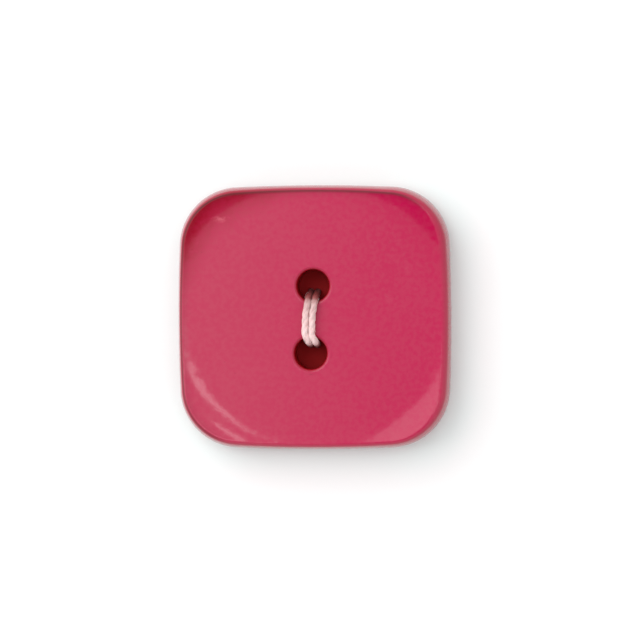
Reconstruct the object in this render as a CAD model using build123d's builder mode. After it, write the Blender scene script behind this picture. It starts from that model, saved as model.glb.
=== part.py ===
from build123d import *
import os
from math import cos, hypot, radians, sin, sqrt, tan

# Square two-hole sew-through button with two passes of sewing thread.
# Millimetres. The origin is the middle of the flat back, +Z points out of the face,
# +Y points along the two holes and +X across them.

# Outline, seen from the face and taken at the belly of the side wall
width = 18.0
depth = 17.3
side_bow_radius = 120.0
corner_radius = 4.06

# Side wall, a barrel whose belly stands above the flat back
belly_height = 1.1
wall_barrel_radius = 5.1
back_edge_radius = 0.3
rim_radius = 0.25

# Turned face: a flat disc, then a valley that sweeps up into the four corners
disc_height = 2.6
disc_radius = 8.1
valley_radius = 4.96
corner_slope = 14.0

# The two countersunk holes, drilled a little off the middle and a little askew
hole_diameter = 2.14
hole_spacing = 4.44
hole_shift_x = -0.1
hole_shift_y = -0.13
hole_turn = -2.2
countersink_width = 0.2
countersink_angle = 90.0
hole_back_chamfer = 0.1

# The sewing thread, in two passes that lie side by side
strand_diameter = 0.46
thread_gap = 0.02
leg_gap = 0.05
thread_end_recess = 0.05
left_pass_bow = 0.07
left_pass_bow_place = -0.7
left_pass_bow_radius = 4.0

# The dish is cut out past the corners, and the blank stands as high as its slope gets there
dish_reach = hypot(width, depth) / 2
valley_run = valley_radius * sin(radians(corner_slope))
valley_rise = valley_radius * (1 - cos(radians(corner_slope)))
slope_rise = (dish_reach - disc_radius - valley_run) * tan(radians(corner_slope))
blank_height = disc_height + valley_rise + slope_rise

# The wall's cutter reaches in past the wall's lean at the blank's top and the back's rolled edge
wall_lean = wall_barrel_radius - sqrt(wall_barrel_radius**2 - (blank_height - belly_height) ** 2)
wall_cut_reach = wall_lean + back_edge_radius

# Each pass of the thread bears on the disc and bends down inside the holes' near walls.
# Places are counted along the hole line from its middle, and heights from the disc.
strand_radius = strand_diameter / 2
strand_side = strand_radius + thread_gap / 2
bar_height = strand_radius + thread_gap
leg_end = thread_end_recess - disc_height
leg_reach = hole_diameter / 2 - leg_gap - strand_radius
leg_place = hole_spacing / 2 - sqrt(leg_reach**2 - strand_side**2)
leg_bend_radius = countersink_width + bar_height

# The middle of the hole line, on the disc
hole_line = Location((hole_shift_x, hole_shift_y, disc_height), (0, 0, hole_turn))

with BuildPart() as button:
    # Blank: four shallow arcs that meet in rounded corners, raised straight up
    with BuildSketch() as outline:
        Rectangle(width, depth)
        for across, along in [(1, 0), (-1, 0), (0, 1), (0, -1)]:
            bow_centre_x = across * (width / 2 - side_bow_radius)
            bow_centre_y = along * (depth / 2 - side_bow_radius)
            with Locations((bow_centre_x, bow_centre_y)):
                Circle(side_bow_radius, mode=Mode.INTERSECT)
        fillet(outline.vertices(), corner_radius)
    extrude(amount=blank_height)

    # The outline runs anticlockwise, so across it x points up and y points out
    outline_wire = outline.wire()
    across_wall = Plane(outline_wire @ 0, x_dir=(0, 0, 1), z_dir=outline_wire % 0)

    # Side wall: the button's own section there is a barrel arc with a rolled back edge
    with BuildSketch(mode=Mode.PRIVATE) as wall_section:
        Rectangle(blank_height, 2 * wall_cut_reach, align=(Align.MIN, Align.CENTER))
        with Locations((belly_height, -wall_barrel_radius)):
            Circle(wall_barrel_radius, mode=Mode.INTERSECT)
        fillet(wall_section.vertices().group_by(Axis.X)[0].sort_by(Axis.Y)[-1], back_edge_radius)

    # What lies outside that section is cut away right round the outline
    with BuildSketch(across_wall):
        Rectangle(blank_height, 2 * wall_cut_reach, align=(Align.MIN, Align.CENTER))
        add(wall_section.sketch, mode=Mode.SUBTRACT)
    sweep(path=outline_wire, mode=Mode.SUBTRACT)

    # Face: a turned cutter with a flat disc, a valley arc and a straight slope
    with BuildSketch(Plane.XZ):
        with BuildLine():
            disc = Line((0, disc_height), (disc_radius, disc_height))
            valley = JernArc(disc @ 1, disc % 1, valley_radius, corner_slope)
            Line(valley @ 1, (dish_reach, blank_height))
            Polyline((dish_reach, blank_height), (0, blank_height), (0, disc_height))
        make_face()
    revolve(axis=Axis.Z, mode=Mode.SUBTRACT)

    # Rim: rolled over where the dish meets the wall, up and down round the four corners
    rim = button.edges().filter_by(GeomType.CIRCLE, reverse=True)
    fillet(rim.filter_by_position(Axis.Z, disc_height, blank_height), rim_radius)

    # Holes: drilled through the disc and countersunk, and eased at the back
    with Locations(hole_line):
        with GridLocations(0, hole_spacing, 1, 2):
            CounterSinkHole(
                hole_diameter / 2,
                hole_diameter / 2 + countersink_width,
                counter_sink_angle=countersink_angle,
            )
    chamfer(button.faces().sort_by(Axis.Z)[0].inner_wires().edges(), hole_back_chamfer)

# The stitch stands on the hole line: x runs along it, y up from the disc, z across it
stitch_plane = Plane(hole_line * Plane.YZ.location)

with BuildPart() as thread_pass_left:
    with BuildLine(stitch_plane) as left_route:
        FilletPolyline(
            (-leg_place, leg_end, -strand_side),
            (-leg_place, bar_height, -strand_side),
            (left_pass_bow_place, bar_height, -strand_side - left_pass_bow),
            (leg_place, bar_height, -strand_side),
            (leg_place, leg_end, -strand_side),
            radius=[leg_bend_radius, left_pass_bow_radius, leg_bend_radius],
        )
    with BuildSketch(Plane(left_route.line @ 0, z_dir=left_route.line % 0)):
        Circle(strand_radius)
    sweep(path=left_route.line)

with BuildPart() as thread_pass_right:
    with BuildLine(stitch_plane) as right_route:
        FilletPolyline(
            (-leg_place, leg_end, strand_side),
            (-leg_place, bar_height, strand_side),
            (leg_place, bar_height, strand_side),
            (leg_place, leg_end, strand_side),
            radius=leg_bend_radius,
        )
    with BuildSketch(Plane(right_route.line @ 0, z_dir=right_route.line % 0)):
        Circle(strand_radius)
    sweep(path=right_route.line)

button.part.label = "button"
thread_pass_left.part.label = "thread_pass_left"
thread_pass_right.part.label = "thread_pass_right"

os.makedirs("parts", exist_ok=True)
export_step(button.part, "parts/button.step")
export_step(thread_pass_left.part, "parts/thread_pass_left.step")
export_step(thread_pass_right.part, "parts/thread_pass_right.step")
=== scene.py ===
"""Square two-hole button with its stitch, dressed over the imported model, in metres."""

import math

import bpy
import numpy as np
from bpy.props import FloatProperty, FloatVectorProperty, IntProperty, PointerProperty
from mathutils import Matrix, Vector, noise
from mathutils.geometry import delaunay_2d_cdt


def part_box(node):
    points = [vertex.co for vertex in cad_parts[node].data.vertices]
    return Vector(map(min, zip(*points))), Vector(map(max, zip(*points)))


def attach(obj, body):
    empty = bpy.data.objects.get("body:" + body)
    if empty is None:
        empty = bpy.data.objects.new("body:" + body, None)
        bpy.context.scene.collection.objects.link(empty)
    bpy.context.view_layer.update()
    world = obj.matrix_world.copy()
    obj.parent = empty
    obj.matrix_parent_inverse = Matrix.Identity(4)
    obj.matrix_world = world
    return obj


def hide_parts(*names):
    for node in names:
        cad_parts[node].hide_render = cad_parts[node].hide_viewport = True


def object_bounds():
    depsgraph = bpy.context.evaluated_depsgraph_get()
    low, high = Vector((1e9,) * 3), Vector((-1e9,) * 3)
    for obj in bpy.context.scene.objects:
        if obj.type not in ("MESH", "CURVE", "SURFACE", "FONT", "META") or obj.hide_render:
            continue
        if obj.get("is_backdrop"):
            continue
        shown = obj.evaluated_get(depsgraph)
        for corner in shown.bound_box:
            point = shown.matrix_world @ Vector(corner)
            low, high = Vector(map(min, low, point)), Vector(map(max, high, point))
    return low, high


bl_info = {
    "name": "Square Sewn Button",
    "version": (1, 0, 0),
    "blender": (4, 5, 0),
    "location": "View3D > Sidebar > Button",
    "description": "Builds a square two-hole plastic button, its stitch and its studio",
    "category": "Add Mesh",
}

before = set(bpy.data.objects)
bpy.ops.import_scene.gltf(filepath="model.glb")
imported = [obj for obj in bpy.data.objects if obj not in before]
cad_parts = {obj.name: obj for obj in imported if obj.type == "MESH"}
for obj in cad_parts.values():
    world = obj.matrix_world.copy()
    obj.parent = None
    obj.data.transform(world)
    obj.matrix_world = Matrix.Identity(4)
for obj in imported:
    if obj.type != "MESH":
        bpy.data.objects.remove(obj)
cad_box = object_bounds()
button_low, button_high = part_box("button")
MM = 0.001

# How finely the button is cut
OUTLINE_POINTS = 480
RIM_STEPS = 12
WALL_STEPS = 16
BACK_EDGE_STEPS = 6
HOLE_POINTS = 112
LIP_STEPS = 8
BORE_STEPS = 15
BACK_LIP_STEPS = 5
FACE_STEP = 0.19 * MM
BACK_STEP = 0.45 * MM

# How finely the thread is cut, and how thick a loose fibre of it is
ROUTE_STEP = 0.03 * MM
STRAND_SIDES = 48
FIBRE_SIDES = 4
FIBRE_STEPS = 6
FIBRE_RADIUS = 0.006 * MM

# How far in from the rim the face's outer rings lie, in millimetres
FACE_RINGS = [0.95, 0.78, 0.62, 0.48, 0.36, 0.26, 0.18, 0.12, 0.07, 0.03, 0.0]

# How far in from its rolled edge the back's outer rings lie, and how much of the wall's colour
# they have
BACK_RINGS = [(0.1, 0.6), (0.3, 0.2), (0.7, 0.0)]

# How far outside each hole's lip the face's rings lie, in millimetres
LIP_RINGS = [0.12, 0.05]

# How strong the painted shade line along the rim is, by the way the rim faces in degrees
LINE_STRENGTH = [(40, 0.0), (75, 0.8), (135, 1.0), (180, 0.7), (240, 0.6), (262, 0.0)]

# How far over the rim's roll the middle of the painted shade line lies, by the same degrees, and
# how far the line reaches to either side of that
LINE_PLACE = [(90, 0.15), (135, 0.36), (180, 0.46)]
LINE_REACH = 0.3

# How much painted shade the thread takes, by place along the hole line in millimetres: most where
# it sinks into the holes, a little along the bar
SUNK_SHADE = [
    (-1.7, 1.0),
    (-1.56, 0.5),
    (-1.45, 0.1),
    (-1.3, 0.0),
    (-0.6, 0.0),
    (0.0, 0.08),
    (0.94, 0.3),
    (1.12, 0.55),
    (1.3, 0.9),
    (1.42, 1.0),
]

# How far each pass of the thread sways, by place along the hole line, both in millimetres
LEFT_SWAY = [(-1.5, 0.08), (-0.92, -0.17), (0.2, -0.16), (1.3, -0.04)]
RIGHT_SWAY = [(-1.5, 0.04), (-0.92, -0.205), (0.2, -0.195), (1.3, -0.07)]

# The name, the side, the sway and the random seed of each pass
PASSES = [("left", -1, LEFT_SWAY, 3), ("right", 1, RIGHT_SWAY, 8)]


def length(name, description, default):
    """A size that a user may change, in metres."""
    return FloatProperty(
        name=name, description=description, default=default, min=0.0, unit="LENGTH", precision=5
    )


def place(name, description, default):
    """A place along one axis, in metres."""
    return FloatProperty(
        name=name, description=description, default=default, unit="LENGTH", precision=5
    )


def turn(name, description, degrees):
    """An angle that a user may change."""
    return FloatProperty(
        name=name, description=description, default=math.radians(degrees), subtype="ANGLE"
    )


def dye(name, description, default):
    """A colour that a user may change."""
    return FloatVectorProperty(
        name=name, description=description, default=default, size=3, min=0, max=1, subtype="COLOR"
    )


def amount(name, description, default):
    """A plain number that a user may change."""
    return FloatProperty(name=name, description=description, default=default, min=0.0)


class ButtonSettings(bpy.types.PropertyGroup):
    """Sizes and colours of the plastic button."""

    width: length("Width", "Across the belly of the wall", button_high.x - button_low.x)
    depth: length("Depth", "Along the holes, at the belly", button_high.y - button_low.y)
    swell: length("Swell", "How much deeper the cast blank came out", 0.09 * MM)
    side_bow: length("Side bow", "Radius of each bowed side", 120.0 * MM)
    corner: length("Corner", "Radius of each corner", 3.92 * MM)
    belly: length("Belly", "Height of the widest part of the wall", 1.1 * MM)
    barrel: length("Barrel", "Radius of the wall's barrel arc", 5.1 * MM)
    back_edge: length("Back edge", "Radius of the rolled back edge", 0.3 * MM)
    rim: length("Rim", "Radius of the rolled rim", 0.25 * MM)
    right_rim: amount("Right rim", "How much rounder the rim is at the right", 0.9)
    disc_height: length("Disc height", "Height of the turned disc", 2.6 * MM)
    disc_radius: length("Disc radius", "Where the face starts to bend up", 7.4 * MM)
    sweep: length("Sweep", "How far out the corners go on steepening", 3.2 * MM)
    corner_slope: turn("Corner slope", "How steep the corners get", 15.5)
    hole_radius: length("Hole radius", "Radius of each hole", 1.07 * MM)
    hole_spacing: length("Hole spacing", "Between the holes' middles", 4.44 * MM)
    hole_x: place("Holes across", "Where the hole line's middle stands", -0.1 * MM)
    hole_y: place("Holes along", "Where the hole line's middle stands", -0.13 * MM)
    hole_turn: turn("Hole line turn", "How far the hole line is askew", -2.2)
    lip: length("Lip", "Radius of each hole's rounded lip", 0.2 * MM)
    back_lip: length("Back lip", "Radius of each hole's lip at the back", 0.1 * MM)
    body_dye: dye("Plastic", "Colour of the plastic", (0.47, 0.006, 0.067))
    # Painted sheen, paler towards the left, which also colours the random paler clouds
    sheen_and_cloud_dye: dye("Bloom", "Paler plastic, mostly to the left", (0.475, 0.042, 0.092))
    # Painted shade in the far corners, most at the far left
    corner_shade_dye: dye("Deep corners", "Colour where the dye is deepest", (0.30, 0.0, 0.014))
    wall_dye: dye("Wall", "Colour of the side wall", (0.39, 0.045, 0.075))
    # Painted shade along the rim's roll and round the holes' lips; the same dark colour marks the
    # specks
    speck_and_rim_shade_dye: dye("Rim line", "Colour of the dye line along the rim", (0.08, 0.0, 0.002))
    # A painted glint by the far left corner
    glint_dye: dye("Scuff", "Colour of the scuff by the far left corner", (0.62, 0.11, 0.16))
    # Painted shade down the holes
    bore_shade_dye: dye("Bore", "Colour down the holes", (0.37, 0.002, 0.006))


class StitchSettings(bpy.types.PropertyGroup):
    """Sizes and colours of the sewing thread."""

    strand: length("Strand", "Thickness of one pass of the thread", 0.455 * MM)
    gap: length("Gap", "Between the two passes, and under them", 0.02 * MM)
    end: length("End", "Height of the thread's ends above the back", 0.05 * MM)
    plies: IntProperty(name="Plies", description="Yarns twisted into a strand", default=3, min=2)
    ply_offset: amount("Ply offset", "Where each ply's middle is, as a part of the radius", 0.26)
    lay: length("Lay", "Length of one full turn of the plies", 1.7 * MM)
    near_reach: length("Near reach", "How far the stitch goes past the near lip", 0.07 * MM)
    near_slant: turn("Near slant", "How steeply the near legs go down", 84.0)
    far_slant: turn("Far slant", "How steeply the far legs go down", 80.0)
    stray_fibres: IntProperty(
        name="Stray fibres", description="Loose fibres on each strand", default=26, min=0
    )
    thread_dye: dye("Thread", "Colour of the thread", (0.87, 0.65, 0.635))
    shade_dye: dye("Thread shade", "Colour between the thread's fibres", (0.74, 0.51, 0.50))
    # Painted shade where the thread sinks into the holes
    sunk_shade_dye: dye("Rubbed thread", "Colour where it rubs in the holes", (0.22, 0.015, 0.015))


class StageSettings(bpy.types.PropertyGroup):
    """The floor, the lights and the camera."""

    floor_size: length("Floor", "Length of the floor's sides", 1.2)
    floor_dye: dye("Floor", "Colour of the floor", (0.93, 0.93, 0.93))
    # Painted on the floor by the button: a tint that takes off the button's red glow and lightens
    # its shadow
    glow_and_shadow_lift_dye: dye("Floor by the button", "Takes off the button's red glow", (0.89, 0.99, 0.975))
    # Painted dark red shade under the button, which the holes show
    under_button_shade_dye: dye("Floor under the button", "What the holes show", (0.48, 0.003, 0.006))
    lens: FloatProperty(
        name="Lens", description="Focal length", default=250.0, min=1.0, subtype="DISTANCE_CAMERA"
    )
    view_width: length("View width", "Width of the picture at the button", 42.18 * MM)
    aim_x: place("Aim across", "Where the camera aims", 0.335 * MM)
    aim_y: place("Aim along", "Where the camera aims", -0.19 * MM)
    lean_x: turn("Camera lean across", "How far the camera stands to the right", 4.2)
    lean_y: turn("Camera lean along", "How far the camera stands to the far side", 1.0)
    roll: turn("Camera roll", "How far the camera is turned about its view", -0.22)
    key: amount("Key", "Brightness of the key panel", 1.9)
    strip: amount("Strips", "Brightness of the two strip lights", 4.6)
    surround: amount("Surround", "Brightness of the surroundings", 0.9)


class Socket:
    """A shader socket. Sums written with it add the Math nodes that work them out."""

    def __init__(self, finish, socket):
        self.finish = finish
        self.socket = socket

    def maths(self, operation, *terms):
        return self.finish.node(
            "ShaderNodeMath", {"operation": operation}, dict(enumerate(terms))
        )

    def __add__(self, other):
        return self.maths("ADD", self, other)

    def __radd__(self, other):
        return self.maths("ADD", other, self)

    def __sub__(self, other):
        return self.maths("SUBTRACT", self, other)

    def __rsub__(self, other):
        return self.maths("SUBTRACT", other, self)

    def __mul__(self, other):
        return self.maths("MULTIPLY", self, other)

    def __rmul__(self, other):
        return self.maths("MULTIPLY", other, self)


class Finish:
    """A material, and the one way that nodes are added to it."""

    def __init__(self, name):
        self.material = bpy.data.materials.new(name)
        self.material.use_nodes = True
        self.tree = self.material.node_tree
        self.tree.nodes.clear()

    def node(self, kind, settings=None, inputs=None, output=0):
        """Adds a node, sets its settings and then its sockets, and gives one output, if any."""
        added = self.tree.nodes.new(kind)
        for name, setting in (settings or {}).items():
            setattr(added, name, setting)
        for name, value in (inputs or {}).items():
            if isinstance(value, Socket):
                self.tree.links.new(value.socket, added.inputs[name])
            else:
                added.inputs[name].default_value = value
        return Socket(self, added.outputs[output]) if added.outputs else None

    def vectors(self, operation, *terms, output="Vector"):
        """What a sum of vectors gives, term by term."""
        return self.node(
            "ShaderNodeVectorMath", {"operation": operation}, dict(enumerate(terms)), output
        )

    def stretched(self, vector, factors):
        """The vector times a factor along each axis."""
        return self.vectors("MULTIPLY", vector, factors)

    def rotated(self, vector, degrees):
        """The vector turned about the upright axis."""
        return self.node(
            "ShaderNodeVectorRotate",
            {"rotation_type": "Z_AXIS"},
            {"Vector": vector, "Angle": math.radians(degrees)},
        )

    def part_of(self, vector, axis):
        """One part of the vector."""
        return self.node("ShaderNodeSeparateXYZ", inputs={0: vector}, output=axis)

    def millimetres(self):
        """The place on the object, in millimetres."""
        here = self.node("ShaderNodeTexCoord", output="Object")
        return self.stretched(here, (1 / MM, 1 / MM, 1 / MM))

    def kept(self, name, output="Fac"):
        """What the mesh keeps at each point under this name."""
        return self.node("ShaderNodeAttribute", {"attribute_name": name}, output=output)

    def clouds(self, vector, size, detail=2.0, distortion=0.0):
        """Soft noise about 0.5 whose clouds are this large in the vector's own unit."""
        return self.node(
            "ShaderNodeTexNoise",
            inputs={
                "Vector": vector,
                "Scale": 1 / size,
                "Detail": detail,
                "Distortion": distortion,
            },
        )

    def cells(self, vector, size):
        """Distance from the nearest of scattered points that stand this far apart."""
        return self.node("ShaderNodeTexVoronoi", inputs={"Vector": vector, "Scale": 1 / size})

    def ellipse(self, vector, middle, halves):
        """How far out this is, on the level, counted in the ellipse's own half lengths."""
        off = self.vectors("SUBTRACT", vector, (*middle, 0.0))
        level = self.stretched(off, (1 / halves[0], 1 / halves[1], 0.0))
        return self.vectors("LENGTH", level, output="Value")

    def beyond_square(self, vector, halves, corner):
        """How far outside a rounded square this is, on the level."""
        past = self.vectors("SUBTRACT", self.vectors("ABSOLUTE", vector), (*halves, 0.0))
        past = self.vectors("MAXIMUM", past, (0.0, 0.0, 0.0))
        level = self.stretched(past, (1.0, 1.0, 0.0))
        return self.vectors("LENGTH", level, output="Value") - corner

    def band(self, value, low, high, start=0.0, end=1.0):
        """Smoothly from start at low to end at high."""
        return self.node(
            "ShaderNodeMapRange",
            {"interpolation_type": "SMOOTHSTEP"},
            {"Value": value, "From Min": low, "From Max": high, "To Min": start, "To Max": end},
        )

    def mixed(self, factor, under, over):
        """One colour over another. The Mix node's colours are its sockets 6 and 7, and 2 out."""
        return self.node(
            "ShaderNodeMix",
            {"data_type": "RGBA"},
            {0: factor, 6: opaque(under), 7: opaque(over)},
            output=2,
        )

    def bumps(self, height, distance, under=None):
        """A bump over what lies under it."""
        inputs = {"Height": height, "Distance": distance}
        if under:
            inputs["Normal"] = under
        return self.node("ShaderNodeBump", inputs=inputs)

    def surface(self, **inputs):
        """Ends the material in a Principled shader."""
        named = {name.replace("_", " "): value for name, value in inputs.items()}
        shader = self.node("ShaderNodeBsdfPrincipled", inputs=named)
        self.node("ShaderNodeOutputMaterial", inputs={"Surface": shader})
        return self.material


def opaque(value):
    """A dye as an opaque colour. A socket stays as it is."""
    return value if isinstance(value, Socket) else (*value, 1.0)


def crimson_plastic(button):
    """Cast plastic, tumbled to a satin gloss, with clouds, specks and fine scratches, and a
    painted sheen, painted shade and a painted glint.
    """
    finish = Finish("crimson_plastic")
    here = finish.millimetres()
    across, along = finish.part_of(here, "X"), finish.part_of(here, "Y")
    # The rim attribute carries the painted shade along the rim and round the holes' lips, and bore
    # the painted shade down the holes
    rim, wall, bore = finish.kept("rim"), finish.kept("wall"), finish.kept("bore")
    mottle = finish.clouds(here, 0.32, detail=3.0)
    drift = finish.clouds(here, 3.5, detail=2.0, distortion=0.6)

    # Painted sheen makes the plastic paler to the left, over random paler clouds; painted shade
    # darkens the far corners; a painted glint lies by the far left corner
    clouds = finish.band(mottle * 0.8 + drift * 0.2, 0.36, 0.64)
    # Painted sheen towards the left, plus the random paler clouds
    sheen_and_clouds = finish.band(across, -8.0, 8.0, start=0.7, end=0.0) + clouds * 0.3
    colour = finish.mixed(sheen_and_clouds, button.body_dye, button.sheen_and_cloud_dye)
    out = finish.ellipse(here, middle=(0.0, 0.0), halves=(1.0, 1.0))
    # Painted shade in the far corners, most at the far left, broken up by the clouds
    corner_shade = finish.band(out + mottle * 1.2 + drift * 2.4, 9.3, 12.2)
    corner_shade = corner_shade * finish.band(along, 0.0, 5.0)
    corner_shade = corner_shade * finish.band(across, -4.0, 4.0, start=1.0, end=0.15)
    colour = finish.mixed(corner_shade, colour, button.corner_shade_dye)
    # A painted glint by the far left corner
    glint = finish.ellipse(here, middle=(-6.1, 6.47), halves=(0.5, 0.24)) + mottle * 2.0
    glinted = finish.band(glint, 0.9, 2.1, start=0.75, end=0.0)
    colour = finish.mixed(glinted, colour, button.glint_dye)

    # The wall, the specks, the painted shade line along the rim and the painted shade down the
    # holes lie over that
    specks = finish.band(finish.cells(here, 0.9), 0.03, 0.07, start=1.0, end=0.0)
    colour = finish.mixed(wall, colour, button.wall_dye)
    colour = finish.mixed(specks * 0.15, colour, button.speck_and_rim_shade_dye)
    colour = finish.mixed(rim, colour, button.speck_and_rim_shade_dye)
    colour = finish.mixed(bore, colour, button.bore_shade_dye)

    # Tumbling leaves low waves, fine orange peel and scratches that run one way
    scratched = finish.stretched(finish.rotated(here, 33.0), (0.3, 11.0, 1.0))
    scratches = finish.band(finish.clouds(scratched, 1.0), 0.66, 0.74)
    peel = finish.clouds(here, 0.24)
    normal = finish.bumps(finish.clouds(here, 1.1, detail=1.0), 0.014 * MM)
    normal = finish.bumps(peel - scratches * 0.15, 0.001 * MM, under=normal)
    roughness = 0.075 + mottle * 0.06 + scratches * 0.03 + bore * 0.25 + rim * 0.5
    return finish.surface(Base_Color=colour, Roughness=roughness, Normal=normal, IOR=1.40)


def spun_thread(stitch):
    """Soft spun fibres that run along each ply and catch the light."""
    finish = Finish("spun_thread")
    along_strand = finish.kept("fibre", output="Vector")
    fibres = finish.clouds(finish.stretched(along_strand, (26.0, 26.0, 2.2)), 1.0, detail=3.0)
    tufts = finish.clouds(finish.stretched(along_strand, (7.0, 7.0, 3.5)), 1.0)

    lit = finish.band(fibres * 0.6 + tufts * 0.4, 0.34, 0.56)
    colour = finish.mixed(lit, stitch.shade_dye, stitch.thread_dye)
    colour = finish.mixed(finish.kept("groove") * 0.45, colour, stitch.shade_dye)
    # Painted shade where the thread sinks into the holes, and a little along the bar
    colour = finish.mixed(finish.kept("sunk_shade"), colour, stitch.sunk_shade_dye)
    return finish.surface(
        Base_Color=colour,
        Roughness=0.7 + fibres * 0.2,
        Normal=finish.bumps(fibres, 0.018 * MM),
        Sheen_Weight=0.12,
        Sheen_Roughness=0.4,
        Specular_IOR_Level=0.3,
        Subsurface_Weight=0.35,
        Subsurface_Radius=(0.12 * MM, 0.08 * MM, 0.08 * MM),
        Subsurface_Scale=1.0,
    )


def pale_floor(stage):
    """Smooth matt white, with a painted lift by the button that takes off its red glow and
    lightens its shadow, and painted dark red shade under the button, which only the holes show.
    """
    finish = Finish("pale_floor")
    here = finish.millimetres()
    grain = finish.clouds(here, 0.8)
    out = finish.ellipse(here, middle=(0.0, 0.0), halves=(1.0, 1.0))
    beside = finish.beyond_square(here, halves=(5.6, 5.2), corner=3.4)
    colour = finish.mixed(grain * 0.04, stage.floor_dye, (0.85, 0.85, 0.85))
    # Painted light by the button: takes off its red glow and lightens its shadow
    colour = finish.mixed(finish.band(beside, 0.0, 2.6), stage.glow_and_shadow_lift_dye, colour)
    # Painted dark red shade under the button, which only the holes show
    colour = finish.mixed(finish.band(out, 6.0, 7.0), stage.under_button_shade_dye, colour)
    return finish.surface(Base_Color=colour, Roughness=0.6, Specular_IOR_Level=0.2)


def flag_felt():
    """Dark matt felt."""
    finish = Finish("flag_felt")
    nap = finish.clouds(finish.millimetres(), 2.0, detail=3.0)
    colour = finish.mixed(nap, (0.02, 0.02, 0.02), (0.04, 0.04, 0.04))
    return finish.surface(Base_Color=colour, Roughness=0.9, Specular_IOR_Level=0.1)


class Skin:
    """Points and faces of a mesh as they are added, with what each point keeps."""

    def __init__(self):
        self.points, self.faces, self.kept = [], [], []

    def add(self, points, *kept):
        """Adds points and gives their numbers. What is kept is one value, or one for each."""
        start = len(self.points)
        self.points.extend(map(tuple, points))
        self.kept.extend(zip(*(np.broadcast_to(value, len(points)) for value in kept)))
        return list(range(start, len(self.points)))

    def band(self, first, second):
        """Joins two rings with a band of faces."""
        for i in range(len(first)):
            j = (i + 1) % len(first)
            self.faces.append((first[i], second[i], second[j], first[j]))

    def bands(self, rings):
        """Joins each ring with the next. Rings listed backwards turn the faces round."""
        for first, second in zip(rings, rings[1:]):
            self.band(first, second)

    def fill(self, rings, loose, height_of, up, holes):
        """Fills the first ring, less the others, with triangles over loose points."""
        known = [number for ring in rings for number in ring]
        edges, start = [], 0
        for ring in rings:
            count = len(ring)
            edges += [(start + i, start + (i + 1) % count) for i in range(count)]
            start += count
        flat = [Vector(self.points[number][:2]) / MM for number in known]
        flat += [Vector(point) / MM for point in loose]
        places, _, triangles, came_from, _, _ = delaunay_2d_cdt(flat, edges, [], 1, 1e-6)
        numbers = []
        for spot, origins in zip(places, came_from):
            if origins and origins[0] < len(known):
                numbers.append(known[origins[0]])
            else:
                x, y = spot * MM
                numbers += self.add([(x, y, height_of(x, y))], 0.0, 0.0, 0.0)
        for triangle in triangles:
            a, b, c = (places[i] for i in triangle)
            middle = (Vector((0, 0)) + a + b + c) * MM / 3
            if any((middle - Vector(centre)).length < radius for centre, radius in holes):
                continue
            face = [numbers[i] for i in triangle]
            turned = (b - a).cross(c - a) > 0
            self.faces.append(tuple(face if turned == up else reversed(face)))


def dress(name, skin, finish, replaced, kept):
    """Makes one smooth mesh, rides it on the body and hides the solid it stands for."""
    mesh = bpy.data.meshes.new(name)
    mesh.from_pydata(skin.points, [], skin.faces)
    mesh.update()
    if mesh.validate(verbose=False):
        raise RuntimeError(f"{name} has a faulty mesh")
    mesh.shade_smooth()
    for attribute, values in kept.items():
        kind, field = ("FLOAT_VECTOR", "vector") if values.ndim == 2 else ("FLOAT", "value")
        layer = mesh.attributes.new(attribute, kind, "POINT")
        layer.data.foreach_set(field, values.astype(np.float32).ravel())
    mesh.materials.append(finish)
    piece = bpy.data.objects.new(name, mesh)
    bpy.context.scene.collection.objects.link(piece)
    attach(piece, "root")
    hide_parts(replaced)


def bowed_square(width, depth, bow, corner, count):
    """Points and outward normals, evenly spaced anticlockwise round the bowed square."""
    side = np.array([width / 2 - bow, 0.0])
    end = np.array([0.0, depth / 2 - bow])
    across = end - side
    reach = bow - corner
    rise = math.sqrt(reach**2 - across @ across / 4)
    square_off = np.array([-across[1], across[0]]) / math.hypot(*across)
    middle = (side + end) / 2 + rise * square_off
    first = math.atan2(middle[1] - side[1], middle[0] - side[0])
    last = math.atan2(middle[1] - end[1], middle[0] - end[0])
    half_turn = math.pi
    flip_x, flip_y = np.array([-1, 1]), np.array([1, -1])
    arcs = [
        (side, bow, -first, first),
        (middle, corner, first, last),
        (end, bow, last, half_turn - last),
        (middle * flip_x, corner, half_turn - last, half_turn - first),
        (side * flip_x, bow, half_turn - first, half_turn + first),
        (-middle, corner, half_turn + first, half_turn + last),
        (end * flip_y, bow, half_turn + last, 2 * half_turn - last),
        (middle * flip_y, corner, 2 * half_turn - last, 2 * half_turn - first),
    ]
    whole = sum(radius * (stop - start) for _, radius, start, stop in arcs)
    points, normals = [], []
    for centre, radius, start, stop in arcs:
        steps = round(count * radius * (stop - start) / whole)
        angles = np.linspace(start, stop, steps, endpoint=False)
        outward = np.column_stack([np.cos(angles), np.sin(angles)])
        points.append(centre + radius * outward)
        normals.append(outward)
    return np.vstack(points), np.vstack(normals)


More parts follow.
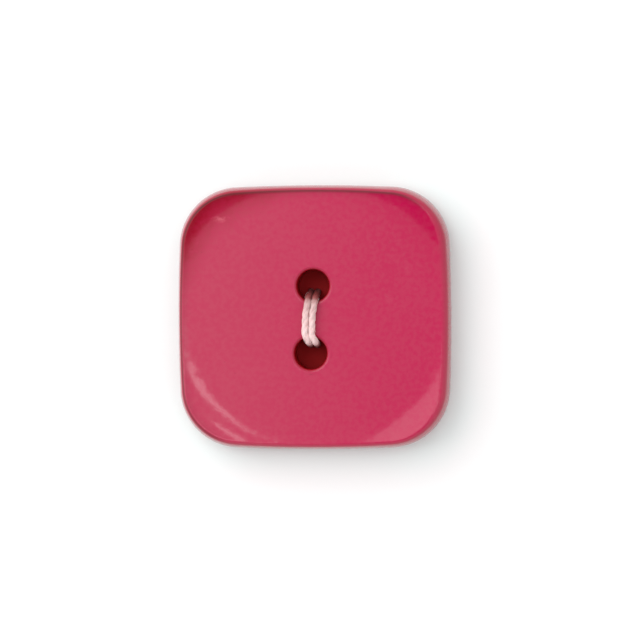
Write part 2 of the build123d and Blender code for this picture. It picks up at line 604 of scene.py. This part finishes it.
class ButtonForm:
    """The button's surfaces as heights and insets round its outline."""

    def __init__(self, button):
        self.button = button
        depth = button.depth + button.swell
        self.outline, self.normals = bowed_square(
            button.width, depth, button.side_bow, button.corner, OUTLINE_POINTS
        )
        # The face is a flat disc that sweeps up into the corners
        self.spans = np.linspace(0, button.width, 6001)
        part = np.clip((self.spans - button.disc_radius) / button.sweep, 0, 1)
        self.slopes = np.tan(button.corner_slope * part * part * (3 - 2 * part))
        steps = np.diff(self.spans) * (self.slopes[1:] + self.slopes[:-1]) / 2
        self.heights = button.disc_height + np.concatenate([[0], np.cumsum(steps)])

    def dish(self, radius):
        """Height and slope of the turned face at a distance from its middle."""
        height = np.interp(radius, self.spans, self.heights)
        return height, np.interp(radius, self.spans, self.slopes)

    def wall(self, height):
        """Inset and slope of the barrel wall at a height."""
        off = height - self.button.belly
        flat = np.sqrt(self.button.barrel**2 - off**2)
        return self.button.barrel - flat, off / flat

    def across(self, inset):
        """Height and slope of the dish at an inset, straight in from the outline."""
        at = self.outline - inset[:, None] * self.normals
        radius = np.hypot(*at.T)
        height, slope = self.dish(radius)
        return height, -slope * np.sum(at * self.normals, axis=1) / radius

    def ring(self, inset, height):
        """Points round the button at an inset and a height."""
        at = self.outline - np.broadcast_to(inset, len(self.outline))[:, None] * self.normals
        return np.column_stack([at, np.broadcast_to(height, len(at))])

    def rim_roll(self):
        """Where the rolled rim leaves the dish, its rings, and where it meets the wall."""
        facing_right = np.maximum(self.normals[:, 0], 0.0)
        radius = self.button.rim * (1 + self.button.right_rim * facing_right**2)
        inset = radius.copy()
        # Each round moves the roll nearer to where it touches both the dish and the wall
        for _ in range(40):
            top, top_slope = self.across(inset)
            top_length = np.hypot(1, top_slope)
            _, lean_slope = self.wall(top - radius / top_length)
            low = top - radius / top_length + radius * lean_slope / np.hypot(1, lean_slope)
            lean, lean_slope = self.wall(low)
            wall_length = np.hypot(1, lean_slope)
            inset = lean + radius / wall_length - radius * top_slope / top_length
        top, top_slope = self.across(inset)
        top_length = np.hypot(1, top_slope)
        centre_u = inset + radius * top_slope / top_length
        centre_z = top - radius / top_length
        start = np.arctan2(1 / top_length, -top_slope / top_length)
        stop = np.arctan2(lean_slope / wall_length, -1 / wall_length)
        rings = []
        for part in np.linspace(0, 1, RIM_STEPS + 1)[1:]:
            angle = start + (stop - start) * part
            rings.append((centre_u + radius * np.cos(angle), centre_z + radius * np.sin(angle)))
        return inset, rings, low


def circle(centre, radius, height):
    """Points anticlockwise round a level circle."""
    angles = np.linspace(0, 2 * math.pi, HOLE_POINTS, endpoint=False)
    return np.column_stack(
        [
            centre[0] + radius * np.cos(angles),
            centre[1] + radius * np.sin(angles),
            np.full(HOLE_POINTS, height),
        ]
    )


def polish(x, y):
    """How far tumbling has worn the face down here."""
    broad = noise.noise(Vector((x, y, 0.0)) / (2.6 * MM))
    fine = noise.noise(Vector((x, y, 9 * MM)) / (0.9 * MM))
    return -0.0028 * MM * (1 + broad) - 0.0004 * MM * (1 + fine)


def faded(distance, reach):
    """From 1 at no distance down to 0 at this reach."""
    return np.maximum(0.0, 1 - distance / reach)


def add_side(skin, button, form):
    """Rings from the face over the rim and the wall to the back, and how far in both ends are."""
    # The painted shade line along the rim is deepest at the far left and fades out to the right
    facing = np.degrees(np.arctan2(form.normals[:, 1], form.normals[:, 0])) % 360
    rim_shade_line = np.interp(facing, *zip(*LINE_STRENGTH))
    line_place = np.interp(facing, *zip(*LINE_PLACE))

    # The face's edge, where the painted shade of the rim line reaches in from the rim
    inset, rim_rings, wall_top = form.rim_roll()
    rings = []
    for step in FACE_RINGS:
        height, _ = form.across(inset + step * MM)
        points = form.ring(inset + step * MM, height)
        worn = min(1.0, step / 0.5)
        points[:, 2] += [worn * polish(x, y) for x, y in points[:, :2]]
        line = rim_shade_line * faded(line_place, LINE_REACH) * faded(step, 0.1)
        rings.append(skin.add(points, line + rim_shade_line * 0.2 * faded(step, 0.4), 0.0, 0.0))

    # The rolled rim
    for i, (u, z) in enumerate(rim_rings):
        part = (i + 1) / len(rim_rings)
        line = rim_shade_line * faded(np.abs(part - line_place), LINE_REACH) ** 0.7
        rings.append(skin.add(form.ring(u, z), line, part, 0.0))

    # The barrel wall, the rolled back edge and the edge of the back
    roll = button.back_edge
    low_reach = button.barrel - roll
    roll_inset = button.barrel - math.sqrt(low_reach**2 - (button.belly - roll) ** 2)
    roll_end = math.atan2(button.belly - roll, button.barrel - roll_inset)
    wall_foot = roll - roll * math.sin(roll_end)
    for part in np.linspace(0, 1, WALL_STEPS + 1)[1:]:
        height = wall_top + (wall_foot - wall_top) * part
        rings.append(skin.add(form.ring(form.wall(height)[0], height), 0.0, 1.0, 0.0))
    for angle in np.linspace(roll_end, math.pi / 2, BACK_EDGE_STEPS + 1)[1:]:
        u = roll_inset - roll * math.cos(angle)
        z = roll - roll * math.sin(angle)
        rings.append(skin.add(form.ring(u, z), 0.0, 1.0, 0.0))
    for step, wall in BACK_RINGS:
        back_inset = roll_inset + step * MM
        rings.append(skin.add(form.ring(back_inset, 0.0), 0.0, wall, 0.0))
    skin.bands(rings)
    return rings, max(FACE_RINGS) * MM + float(inset.max()), back_inset


def add_hole(skin, button, middle):
    """Lines a hole from the face to the back, and gives its first ring and its last."""
    lip, back_lip, radius = button.lip, button.back_lip, button.hole_radius
    rings = []
    for beyond in LIP_RINGS:
        points = circle(middle, radius + lip + beyond * MM, button.disc_height)
        points[:, 2] += [polish(x, y) for x, y in points[:, :2]]
        rings.append(skin.add(points, 0.0, 0.0, 0.0))
    drop = button.disc_height - lip + polish(*middle)
    for angle in np.linspace(math.pi / 2, 0, LIP_STEPS + 1):
        out = radius + lip - lip * math.cos(angle)
        points = circle(middle, out, drop + lip * math.sin(angle))
        shade = 0.2 * math.sin(2 * angle)
        rings.append(skin.add(points, shade, 0.0, math.cos(angle) ** 2))
    for height in np.linspace(drop, back_lip, BORE_STEPS + 1)[1:]:
        rings.append(skin.add(circle(middle, radius, height), 0.0, 0.0, 1.0))
    for angle in np.linspace(0, math.pi / 2, BACK_LIP_STEPS + 1)[1:]:
        out = radius + back_lip - back_lip * math.cos(angle)
        height = back_lip - back_lip * math.sin(angle)
        rings.append(skin.add(circle(middle, out, height), 0.0, 0.0, math.cos(angle)))
    rings.append(skin.add(circle(middle, radius + back_lip + 0.1 * MM, 0.0), 0.0, 0.0, 0.0))
    skin.bands(rings[::-1])
    return rings[0], rings[-1]


def close_packed(half_width, half_depth, step):
    """A field of points a step apart, packed as in a honeycomb."""
    points = []
    row_step = step * math.sqrt(3) / 2
    rows = int(half_depth / row_step)
    columns = int(half_width / step)
    for row in range(-rows, rows + 1):
        shift = step / 2 if row % 2 else 0.0
        for column in range(-columns, columns + 1):
            points.append((column * step + shift, row * row_step))
    return np.array(points)


def inside_outline(button, inset, step, holes, clear):
    """Close-packed points inside the outline, clear of the holes, and finer past the disc."""
    half_width, half_depth = button.width / 2, button.depth / 2
    coarse = close_packed(half_width, half_depth, step)
    fine = close_packed(half_width, half_depth, step * 0.55)
    edge = button.disc_radius - 0.2 * MM
    inner, outer = np.hypot(*coarse.T) < edge - step / 2, np.hypot(*fine.T) > edge
    field = np.vstack([coarse[inner], fine[outer]])
    corner = max(button.corner - inset, 0.0)
    far = np.abs(field) - np.array([half_width - inset - corner, half_depth - inset - corner])
    off = np.hypot(*np.maximum(far, 0.0).T) + np.minimum(far.max(axis=1), 0.0) - corner
    kept = off < -0.08 * MM
    for centre, radius in holes:
        kept &= np.hypot(field[:, 0] - centre[0], field[:, 1] - centre[1]) > radius + clear
    return field[kept]


def build_button(button):
    """The whole button as one closed skin."""
    form = ButtonForm(button)
    skin = Skin()
    side_rings, face_inset, back_inset = add_side(skin, button, form)
    turned = Matrix.Rotation(button.hole_turn, 2)
    shift = Vector((button.hole_x, button.hole_y))
    middles = [turned @ Vector((0, side * button.hole_spacing / 2)) + shift for side in (1, -1)]
    top_rings, back_rings = zip(*(add_hole(skin, button, middle) for middle in middles))

    def face_height(x, y):
        return float(form.dish(np.hypot(x, y))[0]) + polish(x, y)

    def back_height(x, y):
        return 0.0

    # The face and the back are filled in over evenly scattered points
    holes = [(middle, button.hole_radius + button.lip + 0.1 * MM) for middle in middles]
    loose = inside_outline(button, face_inset + 0.14 * MM, FACE_STEP, holes, 0.1 * MM)
    skin.fill([side_rings[0], *top_rings], loose, face_height, True, holes)
    holes = [(middle, button.hole_radius + button.back_lip + 0.08 * MM) for middle in middles]
    loose = inside_outline(button, back_inset + 0.3 * MM, BACK_STEP, holes, 0.25 * MM)
    skin.fill([side_rings[-1], *back_rings], loose, back_height, False, holes)
    rim, wall, bore = np.array(skin.kept).T
    return skin, {"rim": rim, "wall": wall, "bore": bore}


def rounded_route(corners, radii, step):
    """Points a step apart along straight runs joined by arcs, in the run's own plane."""
    corners = [Vector(corner) for corner in corners]
    route = [corners[0]]
    for before, corner, after, radius in zip(corners, corners[1:], corners[2:], radii):
        arriving, leaving = (corner - before).normalized(), (after - corner).normalized()
        bend = arriving.angle(leaving)
        cut = radius * math.tan(bend / 2)
        start = corner - arriving * cut
        centre = corner + (leaving - arriving).normalized() * radius / math.cos(bend / 2)
        run = start - route[-1]
        pieces = max(1, round(run.length / step))
        route += [route[-1] + run * (i / pieces) for i in range(1, pieces)]
        pieces = max(2, round(radius * bend / step))
        arm = start - centre
        for i in range(pieces + 1):
            angle = bend * i / pieces
            ahead = arriving * radius * math.sin(angle)
            route.append(centre + arm * math.cos(angle) + ahead)
    run = corners[-1] - route[-1]
    pieces = max(1, round(run.length / step))
    route += [route[-1] + run * (i / pieces) for i in range(1, pieces + 1)]
    return route


def eased(value, table):
    """Smoothly from one listed value to the next, each a (place, value) pair."""
    places, values = zip(*table)
    value = min(max(value, places[0]), places[-1])
    for i in range(len(places) - 1):
        if value <= places[i + 1]:
            part = (value - places[i]) / (places[i + 1] - places[i])
            part = part * part * (3 - 2 * part)
            return values[i] + (values[i + 1] - values[i]) * part
    return values[-1]


def strand_route(button, stitch, side, sway):
    """Where one pass of the thread runs, how far along each point is and how much painted shade it
    takes.
    """
    radius = stitch.strand / 2
    beside = side * (radius + stitch.gap / 2)
    bar = button.disc_height + radius + stitch.gap
    bend = button.lip + radius + stitch.gap
    start = button.hole_spacing / 2 - button.hole_radius - button.lip
    near = start + stitch.near_reach + bend * math.tan(stitch.near_slant / 2)
    far = start + bend * math.tan(stitch.far_slant / 2)
    corners = [
        (-near - (bar - stitch.end) / math.tan(stitch.near_slant), stitch.end),
        (-near, bar),
        (far, bar),
        (far + (bar - stitch.end) / math.tan(stitch.far_slant), stitch.end),
    ]
    flat = rounded_route([(x, z, 0) for x, z in corners], [bend, bend], ROUTE_STEP)
    turned = Matrix.Rotation(button.hole_turn, 3, "Z")
    middle = Vector((button.hole_x, button.hole_y, 0))
    route, reaches, shade_amounts = [], [0.0], []
    for along, height, _ in flat:
        swayed = beside + eased(along / MM, sway) * MM
        route.append(turned @ Vector((swayed, along, height)) + middle)
        shade_amounts.append(eased(along / MM, SUNK_SHADE))
    for first, second in zip(route, route[1:]):
        reaches.append(reaches[-1] + (second - first).length)
    return route, reaches, shade_amounts


def tube(skin, centres, across, sides, radius_at, kept_at):
    """A closed tube along the centres. Its radius and what it keeps vary point by point."""
    rings, travelled = [], 0.0
    for i, centre in enumerate(centres):
        before, after = centres[max(i - 1, 0)], centres[min(i + 1, len(centres) - 1)]
        side, up = square_to((after - before).normalized(), across)
        if i:
            travelled += (centre - centres[i - 1]).length
        points, kept = [], []
        for angle in np.linspace(0, 2 * math.pi, sides, endpoint=False):
            radius = radius_at(travelled, angle)
            out = side * math.cos(angle) + up * math.sin(angle)
            points.append(centre + out * radius)
            kept.append(kept_at(travelled, angle, radius))
        rings.append(skin.add(points, *zip(*kept)))
    skin.bands(rings[::-1])
    skin.faces.append(tuple(rings[0]))
    skin.faces.append(tuple(reversed(rings[-1])))


def square_to(along, across):
    """Two directions square to a run, the first one as near to across as can be."""
    side = (across - along * across.dot(along)).normalized()
    return side, along.cross(side)


def build_strand(button, stitch, side, sway, seed):
    """One pass of the thread: its twisted plies and the loose fibres that stand off them."""
    route, reaches, shade_amounts = strand_route(button, stitch, side, sway)
    across = Matrix.Rotation(button.hole_turn, 3, "Z") @ Vector((1, 0, 0))
    plies, lay = stitch.plies, stitch.lay
    radius = stitch.strand / 2
    offset = radius * stitch.ply_offset
    ply = radius - offset

    def lobe(travelled, angle):
        """How far round this is from the middle of the nearest ply."""
        turned = (angle - 2 * math.pi * travelled / lay) % (2 * math.pi / plies)
        return turned - math.pi / plies

    def radius_at(travelled, angle):
        off = lobe(travelled, angle)
        lump = 1 + 0.02 * noise.noise(Vector((travelled / (0.25 * MM), angle, seed)))
        return (offset * math.cos(off) + math.sqrt(ply**2 - (offset * math.sin(off)) ** 2)) * lump

    def kept_at(travelled, angle, radius):
        level, up = radius * math.cos(angle) / MM, radius * math.sin(angle) / MM
        groove = (abs(lobe(travelled, angle)) * plies / math.pi) ** 6
        return level, up, travelled / MM + seed, groove, np.interp(travelled, reaches, shade_amounts)

    skin = Skin()
    tube(skin, route, across, STRAND_SIDES, radius_at, kept_at)
    add_stray_fibres(skin, route, across, radius, stitch.stray_fibres, seed)
    kept = np.array(skin.kept)
    return skin, {"fibre": kept[:, :3], "groove": kept[:, 3], "sunk_shade": kept[:, 4]}


def add_stray_fibres(skin, route, across, radius, number, seed):
    """Fine fibres that leave the strand at a slant and curl back."""
    chance = np.random.default_rng(seed)
    count = len(route)
    for _ in range(number):
        start = int(chance.uniform(0.2, 0.75) * count)
        around = chance.uniform(-0.4 * math.pi, 1.4 * math.pi)
        reach = int(chance.uniform(8, 20))
        lift = chance.uniform(0.03, 0.1) * MM
        curl = chance.uniform(-1.6, 1.6)
        forward = 1 if chance.uniform() < 0.5 else -1
        centres = []
        for step in range(FIBRE_STEPS + 1):
            part = step / FIBRE_STEPS
            i = min(max(start + forward * int(part * reach), 1), count - 2)
            side, up = square_to((route[i + 1] - route[i - 1]).normalized(), across)
            angle = around + curl * part
            out = side * math.cos(angle) + up * math.sin(angle)
            centres.append(route[i] + out * (radius * 0.9 + lift * math.sin(part * 2.4)))
        tube(
            skin,
            centres,
            across,
            FIBRE_SIDES,
            lambda travelled, angle: FIBRE_RADIUS,
            lambda travelled, angle, radius: (0.0, 0.0, travelled / MM, 0.0, 0.0),
        )


def lay_card(name, width, depth, spot, finish):
    """A level sheet that belongs to the stage."""
    mesh = bpy.data.meshes.new(name)
    x, y = width / 2, depth / 2
    mesh.from_pydata([(-x, -y, 0), (x, -y, 0), (x, y, 0), (-x, y, 0)], [], [(0, 1, 2, 3)])
    mesh.materials.append(finish)
    card = bpy.data.objects.new(name, mesh)
    card.location = spot
    bpy.context.scene.collection.objects.link(card)
    card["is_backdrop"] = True
    return card


def lay_floor(stage):
    """A pale floor just under the button."""
    size = stage.floor_size
    lay_card("floor", size, size, (0, 0, -0.005 * MM), pale_floor(stage))


def hang_flag():
    """A dark card above the near side. It deepens what the two far corners mirror."""
    flag = lay_card("dark_flag", 0.4, 0.14, (-0.04, -0.16, 0.45), flag_felt())
    flag.visible_camera = False


def soft_panel(name, brightness, towards, distance, size):
    """A glowing panel that faces the button from the direction with these two cosines."""
    width, height = size
    light = bpy.data.lights.new(name, "AREA")
    light.shape = "RECTANGLE"
    light.size, light.size_y = width, height
    light.energy = brightness * math.pi * width * height
    lamp = bpy.data.objects.new(name, light)
    across, along = towards
    out = Vector((across, along, math.sqrt(1 - across**2 - along**2)))
    level = (Vector((1, 0, 0)) - out * out.x).normalized()
    facing = Matrix((level, out.cross(level), out)).transposed()
    lamp.matrix_world = Matrix.Translation(out * distance) @ facing.to_4x4()
    lamp.visible_camera = False
    bpy.context.scene.collection.objects.link(lamp)
    lamp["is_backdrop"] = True


def hang_lights(stage):
    """A broad key panel, two strips for the near corner and even surroundings."""
    soft_panel("key_panel", stage.key, towards=(-0.60, 0.42), distance=0.3, size=(0.32, 0.32))
    soft_panel("low_strip", stage.strip, towards=(0.05, 0.066), distance=0.5, size=(0.07, 0.034))
    soft_panel("high_strip", stage.strip, towards=(0.085, 0.25), distance=0.5, size=(0.085, 0.024))
    world = bpy.data.worlds.new("studio")
    world.use_nodes = True
    background = world.node_tree.nodes["Background"]
    background.inputs["Color"].default_value = (1, 1, 1, 1)
    background.inputs["Strength"].default_value = stage.surround
    bpy.context.scene.world = world


def stand_camera(stage, height):
    """A long lens, almost straight above the button."""
    lens = bpy.data.cameras.new("camera")
    lens.lens = stage.lens
    lens.clip_start, lens.clip_end = 0.01, 10.0
    camera = bpy.data.objects.new("camera", lens)
    aim = Vector((stage.aim_x, stage.aim_y, height))
    out = Vector((math.tan(stage.lean_x), math.tan(stage.lean_y), 1.0)).normalized()
    spot = aim + out * stage.view_width * stage.lens / lens.sensor_width
    level = (Vector((0, 1, 0)) - out * out.y).normalized()
    facing = Matrix((level.cross(out), level, out)).transposed().to_4x4()
    rolled = Matrix.Rotation(stage.roll, 4, "Z")
    camera.matrix_world = Matrix.Translation(spot) @ facing @ rolled
    bpy.context.scene.collection.objects.link(camera)
    bpy.context.scene.camera = camera


class SEWNBUTTON_OT_cast_button(bpy.types.Operator):
    """Make the plastic button"""

    bl_idname = "sewnbutton.cast_button"
    bl_label = "Cast Button"

    def execute(self, context):
        button = context.scene.button_settings
        skin, kept = build_button(button)
        plastic = crimson_plastic(button)
        dress("square_button", skin, plastic, "button", kept)
        return {"FINISHED"}


class SEWNBUTTON_OT_sew_stitch(bpy.types.Operator):
    """Make the two passes of the thread"""

    bl_idname = "sewnbutton.sew_stitch"
    bl_label = "Sew Stitch"

    def execute(self, context):
        button, stitch = context.scene.button_settings, context.scene.stitch_settings
        thread = spun_thread(stitch)
        for name, side, sway, seed in PASSES:
            skin, kept = build_strand(button, stitch, side, sway, seed)
            piece, replaced = f"sewing_thread_{name}", f"thread_pass_{name}"
            dress(piece, skin, thread, replaced, kept)
        return {"FINISHED"}


class SEWNBUTTON_OT_set_stage(bpy.types.Operator):
    """Lay the floor, hang the lights and stand the camera"""

    bl_idname = "sewnbutton.set_stage"
    bl_label = "Set Stage"

    def execute(self, context):
        stage = context.scene.stage_settings
        lay_floor(stage)
        hang_lights(stage)
        hang_flag()
        stand_camera(stage, context.scene.button_settings.belly)
        context.scene.view_settings.view_transform = "Standard"
        return {"FINISHED"}


class SEWNBUTTON_PT_bench(bpy.types.Panel):
    """Lists the operators and their settings"""

    bl_idname = "SEWNBUTTON_PT_bench"
    bl_label = "Square Sewn Button"
    bl_space_type = "VIEW_3D"
    bl_region_type = "UI"
    bl_category = "Button"

    def draw(self, context):
        for operator, group in BENCH:
            self.layout.operator(operator.bl_idname)
            settings = getattr(context.scene, group)
            for name in settings.bl_rna.properties.keys():
                if name not in ("rna_type", "name"):
                    self.layout.prop(settings, name)


SETTINGS = {
    "button_settings": ButtonSettings,
    "stitch_settings": StitchSettings,
    "stage_settings": StageSettings,
}
BENCH = (
    (SEWNBUTTON_OT_cast_button, "button_settings"),
    (SEWNBUTTON_OT_sew_stitch, "stitch_settings"),
    (SEWNBUTTON_OT_set_stage, "stage_settings"),
)


def register():
    """Registers the classes and gives the scene its settings."""
    for group in SETTINGS.values():
        bpy.utils.register_class(group)
    for operator, _ in BENCH:
        bpy.utils.register_class(operator)
    bpy.utils.register_class(SEWNBUTTON_PT_bench)
    for name, group in SETTINGS.items():
        setattr(bpy.types.Scene, name, PointerProperty(type=group))


def unregister():
    """Takes all of that away again."""
    for name in SETTINGS:
        delattr(bpy.types.Scene, name)
    bpy.utils.unregister_class(SEWNBUTTON_PT_bench)
    for operator, _ in reversed(BENCH):
        bpy.utils.unregister_class(operator)
    for group in reversed(SETTINGS.values()):
        bpy.utils.unregister_class(group)


def main():
    """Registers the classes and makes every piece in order."""
    register()
    bpy.ops.sewnbutton.cast_button()
    bpy.ops.sewnbutton.sew_stitch()
    bpy.ops.sewnbutton.set_stage()
    boxes = {"cad": cad_box, "visual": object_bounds()}
    {name: [list(corner) for corner in box] for name, box in boxes.items()}


if __name__ == "__main__":
    main()
